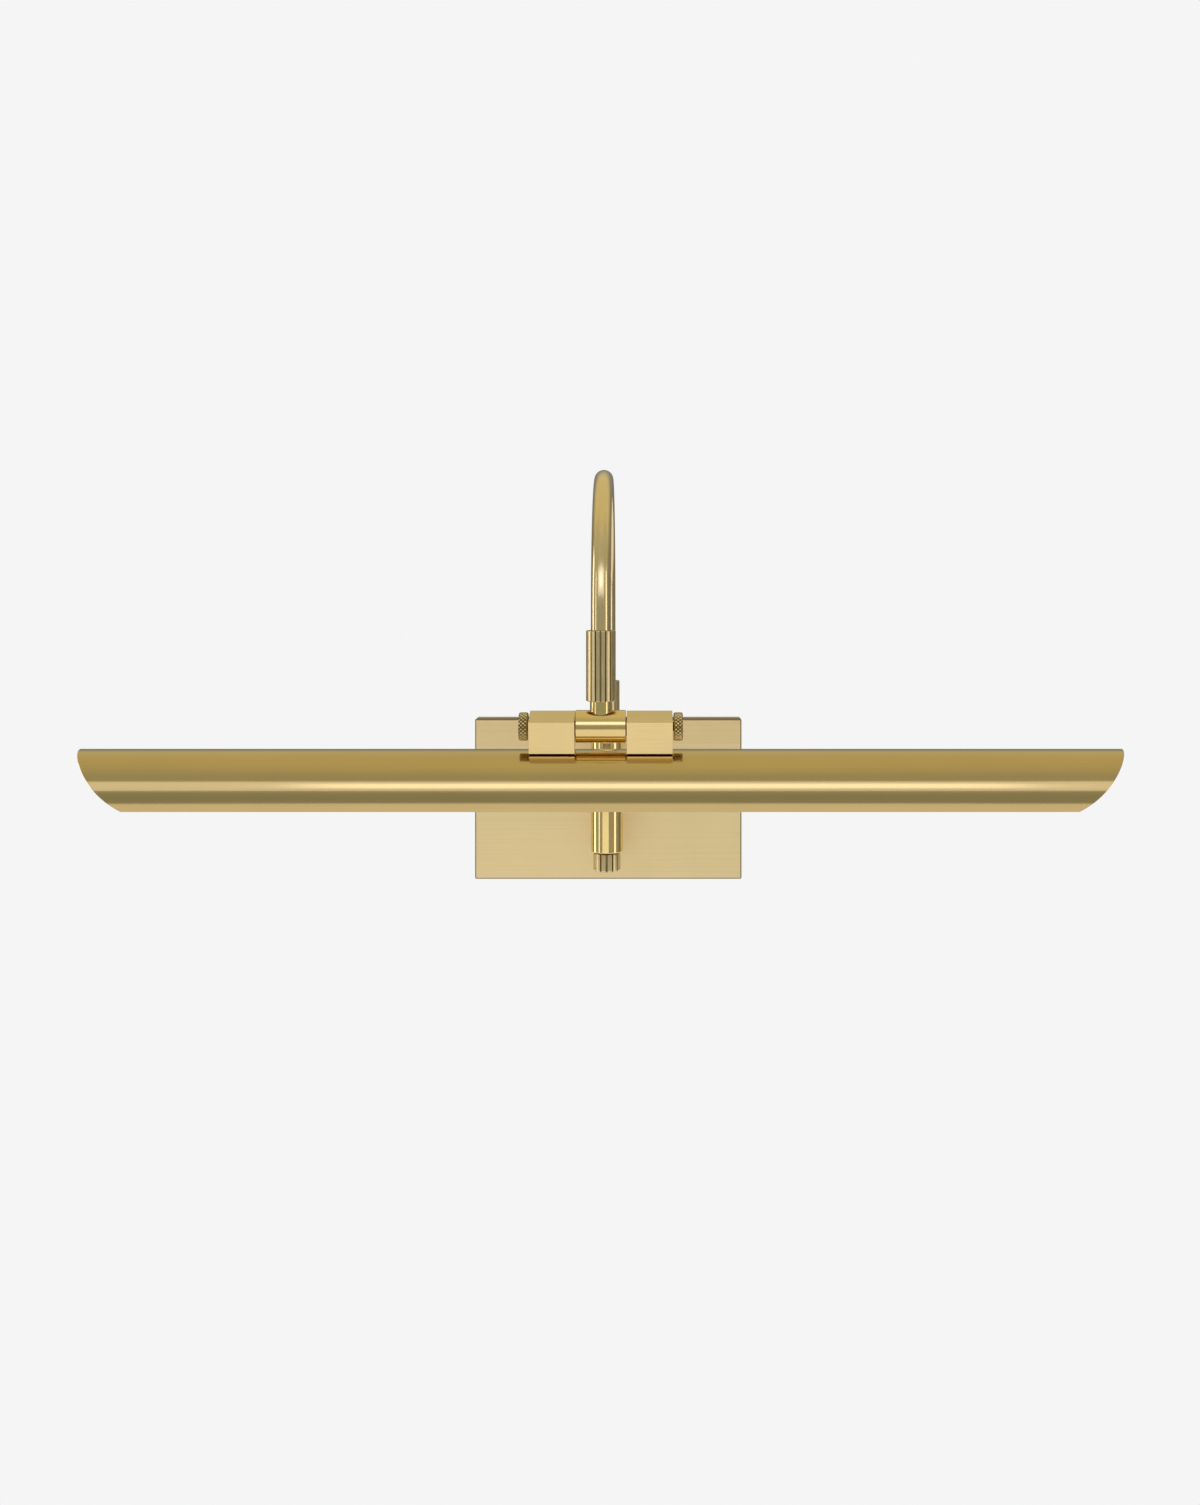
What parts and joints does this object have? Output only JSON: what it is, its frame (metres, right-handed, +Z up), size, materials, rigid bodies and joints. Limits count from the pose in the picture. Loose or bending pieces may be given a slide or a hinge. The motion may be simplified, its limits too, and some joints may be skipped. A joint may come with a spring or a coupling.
{
  "type": "picture light",
  "caption": "Wall-mounted picture light: brushed back plate, upright post, swan-neck tube with fluted lock collars and a long half-round brass shade on a tilting clamp hinge.",
  "frame": {"origin": "centre of the wall bracket's back face, on the wall", "axes": "+X along the shade to the right as seen from the room, +Y towards the wall, +Z up"},
  "size_m": [0.4076, 0.1667, 0.1891],
  "materials": {
    "brushed_brass": "satin, brushed along its length, clear lacquer",
    "satin_brass": "fine satin",
    "shade_brass": "fine satin, brushed along its length, clear lacquer",
    "polished_brass": "polished, clear lacquer",
    "tube_brass": "semi-polished",
    "fluted_brass": "machined straight flutes, satin",
    "knurled_brass": "machined diamond knurl, satin",
    "zinc_steel": "zinc plated",
    "green_screw": "green passivated earth screw",
    "black_phenolic": "moulded",
    "white_nylon": "moulded",
    "lead_sleeving": "extruded, gold coloured sleeving",
    "lamp_cap": "rolled thread",
    "frosted_glass": "frosted inside"
  },
  "bodies": {
    "wall_mount": {"back_plate": "brushed_brass", "wall_bracket": "zinc_steel", "cover_screw_left": "polished_brass", "cover_screw_right": "polished_brass", "ground_screw": "green_screw", "canopy_nipple": "zinc_steel", "lock_washer": "zinc_steel", "lock_nut": "zinc_steel", "standoff_sleeve": "polished_brass", "terminal_block": "white_nylon", "supply_lead": "lead_sleeving", "post": "polished_brass", "rear_bush": "white_nylon", "switch_body": "black_phenolic", "switch_nut": "zinc_steel"},
    "knob": {"switch_knob": "fluted_brass", "switch_shaft": "zinc_steel"},
    "rear_lock": {"rear_collar": "fluted_brass"},
    "arm": {"arm_tube": "tube_brass", "arm_lead": "lead_sleeving", "arm_clip": "zinc_steel"},
    "swivel_head": {"head_stem": "polished_brass", "swivel_washer": "white_nylon", "hinge_barrel": "polished_brass", "head_lead": "lead_sleeving"},
    "front_lock": {"front_collar": "fluted_brass"},
    "lamp_head": {"hinge_block_left": "satin_brass", "hinge_block_right": "satin_brass", "block_spacer_left": "black_phenolic", "block_spacer_right": "black_phenolic", "block_nipple_left": "zinc_steel", "block_nipple_right": "zinc_steel", "block_nut_left": "zinc_steel", "block_nut_right": "zinc_steel", "shade": "shade_brass", "lamp_bracket": "zinc_steel", "lamp_socket_left": "black_phenolic", "lamp_socket_right": "black_phenolic", "lamp_base_left": "lamp_cap", "lamp_base_right": "lamp_cap", "lamp_glass_left": "frosted_glass", "lamp_glass_right": "frosted_glass", "lamp_lead_left": "lead_sleeving", "lamp_lead_right": "lead_sleeving"},
    "screw_left": {"thumbscrew_left": "knurled_brass"},
    "screw_right": {"thumbscrew_right": "knurled_brass"}
  },
  "joints": [
    {"name": "arm_swivel", "type": "hinge", "parent": "wall_mount", "child": "arm", "pos_m": [0, -0.0427, 0.0309], "axis": [0, 0, 1], "range_deg": [-20, 20]},
    {"name": "rear_collar_turn", "type": "hinge", "parent": "wall_mount", "child": "rear_lock", "pos_m": [0, -0.0427, 0.045], "axis": [0, 0, 1], "range_deg": [0, 360]},
    {"name": "switch_turn", "type": "hinge", "parent": "wall_mount", "child": "knob", "pos_m": [0, -0.0427, -0.025], "axis": [0, 0, 1], "continuous": true},
    {"name": "head_swivel", "type": "hinge", "parent": "arm", "child": "swivel_head", "pos_m": [0, -0.1527, 0.0622], "axis": [0, 0, 1], "range_deg": [-15, 15]},
    {"name": "front_collar_turn", "type": "hinge", "parent": "swivel_head", "child": "front_lock", "pos_m": [0, -0.1527, 0.07], "axis": [0, 0, 1], "range_deg": [0, 360]},
    {"name": "shade_tilt", "type": "hinge", "parent": "swivel_head", "child": "lamp_head", "pos_m": [0, -0.1527, 0.048], "axis": [1, 0, 0], "range_deg": [-45, 60]},
    {"name": "thumbscrew_left_turn", "type": "hinge", "parent": "lamp_head", "child": "screw_left", "pos_m": [-0.0282, -0.1527, 0.048], "axis": [-1, 0, 0], "range_deg": [0, 360]},
    {"name": "thumbscrew_right_turn", "type": "hinge", "parent": "lamp_head", "child": "screw_right", "pos_m": [0.0282, -0.1527, 0.048], "axis": [1, 0, 0], "range_deg": [0, 360]}
  ]
}
